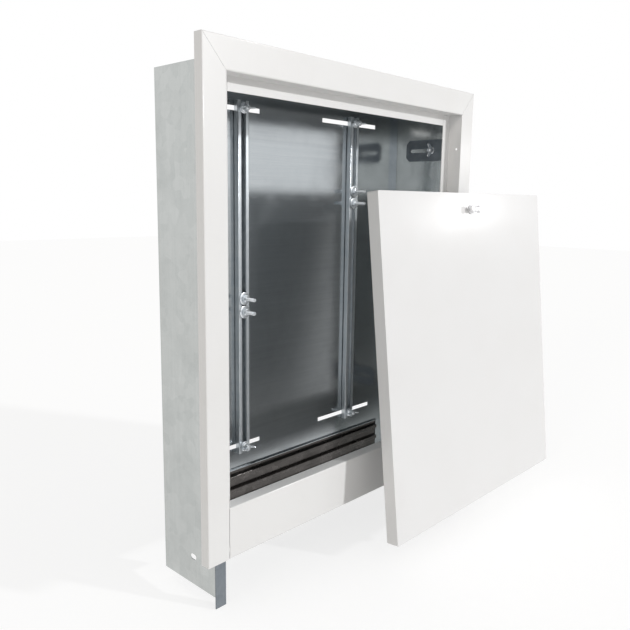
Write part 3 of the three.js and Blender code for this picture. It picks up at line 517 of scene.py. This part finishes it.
def hexagon_nut(across_flats, height, bore=M6):
    """A nut whose corners are turned down to a cone at both ends."""
    flat, cone = 0.5 * across_flats, 0.475 * across_flats
    shape = lathe([(bore, 0.4), (bore + 0.4, 0), (cone, 0), (flat, 0.01), (flat, height - 0.01),
                   (cone, height), (bore + 0.4, height), (bore, height - 0.4)], 72)
    for vert in shape.verts:
        reach = vert.co.xy.length
        if reach < flat * MM * 0.99:
            continue
        angle = atan2(vert.co.y, vert.co.x) % (pi / 3) - pi / 6
        grown = flat * MM / cos(angle)
        drop = (grown - flat * MM) * tan(radians(30))
        vert.co.xy *= grown / reach
        vert.co.z += drop if vert.co.z < height / 2 * MM else -drop
    return shape


def dome_head(radius, height, socket=0.0):
    """A low domed head below Z = 0, with a hexagon key's hole where it has one."""
    crown = [(radius * sin(radians(a)), -height * (0.3 + 0.7 * cos(radians(a)))) for a in (78, 62, 46, 30)]
    profile = [(0, 0), (radius, 0), (radius, -height * 0.3)] + crown
    if socket:
        floor = -height * 0.25
        profile += [(socket, -height * 0.93), (socket * 0.97, floor), (0, floor - 0.2)]
    else:
        profile += [(radius * 0.25, -height * 0.985), (0, -height)]
    return lathe(profile, 36)


WING = [(3.2, 1.2), (5.4, 1.2), (9.2, 3.8), (11.7, 8.4), (11.8, 12.6), (10.4, 13.8), (8.3, 13.6),
        (5.6, 10.6), (3.2, 8.4)]


def wing_nut():
    bore = M6 + 0.25
    hub = lathe([(bore, 0), (6.9, 0), (6.9, 1.7), (5.4, 2.9), (4.9, 4.2), (4.5, 8.6), (bore, 8.6)], 32)
    rounded(hub, corners(hub, 40), 0.4, 2)
    wings = []
    for mirror in (1, -1):
        wing = slab([(mirror * x, z) for x, z in WING], 2.3)
        rounded(wing, corners(wing, 50), 0.75, 3)
        wings.append(wing)
    return joined(hub, *wings)


def seat_on(name, axis, end):
    """The middle of the low or high end of a node's box, and the box's size in mm."""
    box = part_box(name)
    spot = (box[LOW] + box[HIGH]) / 2
    spot[axis] = box[end][axis]
    return spot, (box[HIGH] - box[LOW]) / MM


def length_to(name, end, root):
    """How far in mm a shank reaches from its root to the end of the node's box."""
    return abs(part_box(name)[end].y - root.y) / MM


def fasten(shape, name, look, facing, spot, turn=0.0):
    finished(seated(shape, FACING[facing], spot, turn), f"{name}_{look}", bolt_zinc, name)


def add_washer(name):
    seat, size = seat_on(name, Y, HIGH)
    fasten(washer(size.x / 2, size.y), name, "disc", "front", seat)


def add_hexagon_nut(name, end, facing):
    seat, size = seat_on(name, Y, end)
    fasten(hexagon_nut(size.z, size.y), name, "hexagon", facing, seat, 30)


def build_lug_fixings(where, end, inward):
    name = f"lug_stud_{where}"
    root, size = seat_on(name, X, end)
    fasten(threaded(size.x), name, "thread", inward, root)
    name = f"lug_wing_nut_{where}"
    seat, _ = seat_on(name, X, end)
    fasten(wing_nut(), name, "cast", inward, seat)


def build_rail_fixings(where):
    name = f"rail_bolt_{where}"
    root, _ = seat_on(name, Y, HIGH)
    root.y -= RAIL_HEAD * MM
    bolt = joined(dome_head(7.0, RAIL_HEAD), threaded(length_to(name, LOW, root)))
    fasten(bolt, name, "thread", "front", root)
    add_washer(f"rail_washer_{where}")
    name = f"rail_wing_nut_{where}"
    seat, _ = seat_on(name, Y, HIGH)
    fasten(wing_nut(), name, "cast", "front", seat)


def build_clamp(where):
    """A bolt whose flat oblong head slides in the rail, with its washer and nut."""
    name = f"clamp_bolt_{where}"
    root, size = seat_on(name, Y, HIGH)
    root.y -= CLAMP_HEAD * MM
    wide, tall = size.x / 2, size.z / 2
    head = slab([(-wide, -tall), (wide, -tall), (wide, tall), (-wide, tall)], CLAMP_HEAD)
    rounded(head, corners(head), 0.5, 2)
    seated(head, FACING["front"], (0, 0, -CLAMP_HEAD / 2 * MM))
    fasten(joined(head, threaded(length_to(name, LOW, root))), name, "thread", "front", root)
    add_washer(f"clamp_washer_{where}")
    add_hexagon_nut(f"clamp_nut_{where}", HIGH, "front")


def build_foot_fixings(side):
    name = f"foot_bolt_{side}"
    root, _ = seat_on(name, Y, LOW)
    root.y += FOOT_HEAD * MM
    bolt = joined(dome_head(5.5, FOOT_HEAD, socket=1.9), threaded(length_to(name, HIGH, root)))
    fasten(bolt, name, "thread", "back", root)
    add_hexagon_nut(f"foot_nut_{side}", LOW, "back")


def build_rivet(side):
    name = f"guide_rivet_{side}"
    root, _ = seat_on(name, Y, LOW)
    root.y += RIVET_HEAD * MM
    tail = length_to(name, HIGH, root)
    shank = lathe([(0, -0.2), (2.0, -0.2), (2.0, tail - 1), (2.9, tail - 0.8), (2.9, tail - 0.3),
                   (2.3, tail), (0, tail)], 24)
    fasten(joined(dome_head(4.0, RIVET_HEAD), shank), name, "dome", "back", root)


def build_fasteners():
    for row in ROWS:
        for side, end in OUTER_END.items():
            build_lug_fixings(f"{row}_{side}", end, "right" if side == "left" else "left")
            build_rail_fixings(f"{row}_{side}")
    for where in CLAMPS:
        build_clamp(where)
    for side in OUTER_END:
        build_foot_fixings(side)
        build_rivet(side)


# ---------------------------------------------------------------- lock

BOW = [(0, 2.7), (5.0, 3.1), (8.2, 4.9), (10.6, 6.3), (12.4, 5.4), (13.0, 2.4), (13.0, -2.4), (12.4, -5.4),
       (10.6, -6.3), (8.2, -4.9), (5.0, -3.1), (0, -2.7)]
BOW_HEIGHT = 9.1


def build_lock():
    facing = DOOR_TURN @ FACING["front"]
    flange = lathe([(2.7, -12.0), (6.0, -12.0), (6.0, 0.3), (8.0, 0.3), (8.0, 1.7), (7.4, 2.3), (5.6, 2.3),
                    (5.2, 1.6), (2.7, 1.6)], 48)
    finished(seated(flange, facing, LOCK), "lock_housing_flange", lock_nickel, "lock_housing")
    bow = slab(BOW + [(-x, z) for x, z in reversed(BOW[1:-1])], 7.0)
    rounded(bow, corners(bow, 60), 1.5, 4)
    seated(bow, FACING["front"], (0, 0, BOW_HEIGHT * MM))
    hub = lathe([(0, -15.9), (2.45, -15.9), (2.45, 2.65), (4.4, 2.65), (4.4, 11.2), (3.9, 12.3), (2.2, 12.3),
                 (1.8, 11.6), (0, 11.6)], 32)
    finished(seated(joined(bow, hub), facing, LOCK), "lock_knob_bow", lock_nickel, "lock_knob")


# ---------------------------------------------------------------- studio

FLOOR_REACH = 8
CAMERA_SPOT = (-0.80207, -0.80613, 0.12936)
CAMERA_HEADING, CAMERA_DIP, CAMERA_ROLL = radians(-46.71), radians(9.603), radians(0.823)


def bare_material(name):
    material = bpy.data.materials.new(name)
    material.use_nodes = True
    material.node_tree.nodes.clear()
    return material, material.node_tree


def shown_directly(tree):
    """A mask for what the eye meets straight on, in metal or through glass."""
    path = node(tree, "ShaderNodeLightPath").outputs
    direct = math(tree, "MAXIMUM", path["Is Camera Ray"], path["Is Glossy Ray"])
    return math(tree, "MAXIMUM", direct, path["Is Transmission Ray"])


def glow(tree, kind, strength, colour=(1, 1, 1, 1)):
    return node(tree, kind, {"Color": colour, "Strength": strength}).outputs[0]


def matt(tree, colour):
    return node(tree, "ShaderNodeBsdfDiffuse", {"Color": colour}).outputs[0]


def added(tree, a, b):
    return node(tree, "ShaderNodeAddShader", {0: a, 1: b}).outputs[0]


def build_floor():
    """A pale floor that reads white and keeps a faint shadow."""
    material, tree = bare_material("studio floor")
    pale = added(tree, matt(tree, (0.82, 0.81, 0.79, 1)), glow(tree, "ShaderNodeEmission", 0.1))
    white = added(tree, matt(tree, (0.35, 0.35, 0.35, 1)), glow(tree, "ShaderNodeEmission", 0.74))
    shown = node(tree, "ShaderNodeMixShader", {0: shown_directly(tree), 1: pale, 2: white}).outputs[0]
    node(tree, "ShaderNodeOutputMaterial", {0: shown})

    shape = bmesh.new()
    bmesh.ops.create_grid(shape, x_segments=1, y_segments=1, size=FLOOR_REACH)
    bmesh.ops.translate(shape, vec=(0, 0, CAD_BOX[0].z - MM), verts=shape.verts)
    mesh = bpy.data.meshes.new("studio_floor")
    shape.to_mesh(mesh)
    shape.free()
    mesh.materials.append(material)
    ground = bpy.data.objects.new("studio_floor", mesh)
    bpy.context.scene.collection.objects.link(ground)


def build_world():
    world = bpy.data.worlds.new("studio")
    world.use_nodes = True
    bpy.context.scene.world = world
    tree = world.node_tree
    tree.nodes.clear()
    fill = glow(tree, "ShaderNodeBackground", 0.5, (1.0, 0.99, 0.975, 1))
    white = glow(tree, "ShaderNodeBackground", 1.0)
    shown = node(tree, "ShaderNodeMixShader", {0: shown_directly(tree), 1: fill, 2: white}).outputs[0]
    node(tree, "ShaderNodeOutputWorld", {0: shown})


def add_lamp(name, kind, spot, target=(0, 0, 0), **settings):
    data = bpy.data.lights.new(name, kind)
    for key, value in settings.items():
        setattr(data, key, value)
    lamp = bpy.data.objects.new(name, data)
    lamp.location = spot
    lamp.rotation_euler = (Vector(target) - Vector(spot)).to_track_quat("-Z", "Y").to_euler()
    lamp.visible_camera = False
    bpy.context.scene.collection.objects.link(lamp)


def build_lights():
    """A small key from the front right, a warm one from the left, and a window seen in the door's gloss."""
    add_lamp("key", "SUN", (0.46, -0.89, 0.31), energy=1.5, angle=radians(3.0))
    add_lamp("side", "SUN", (-0.95, -0.2, 0.22), energy=0.45, angle=radians(12.0), color=(1.0, 0.94, 0.86))
    add_lamp("window", "AREA", (2.38, -1.45, 0.37), (0.25, -0.17, 0.11),
             shape="RECTANGLE", size=0.27, size_y=0.17, energy=1.3)


def build_camera():
    data = bpy.data.cameras.new("camera")
    data.sensor_width, data.lens = 36.0, 38.7
    data.clip_start, data.clip_end = 0.05, 50.0
    camera = bpy.data.objects.new("camera", data)
    camera.matrix_world = (
        Matrix.Translation(CAMERA_SPOT) @ Matrix.Rotation(CAMERA_HEADING, 4, "Z")
        @ Matrix.Rotation(pi / 2 - CAMERA_DIP, 4, "X") @ Matrix.Rotation(CAMERA_ROLL, 4, "Z"))
    bpy.context.scene.collection.objects.link(camera)
    bpy.context.scene.camera = camera


build_body()
build_frame()
build_rails()
build_door()
build_fasteners()
build_lock()
for name in ("lock_nut", "lock_cam"):
    frame["nodes"][name].material_slots[0].material = bolt_zinc
build_floor()
build_world()
build_camera()
build_lights()
bpy.context.scene.view_settings.view_transform = "Standard"

bpy.context.view_layer.update()
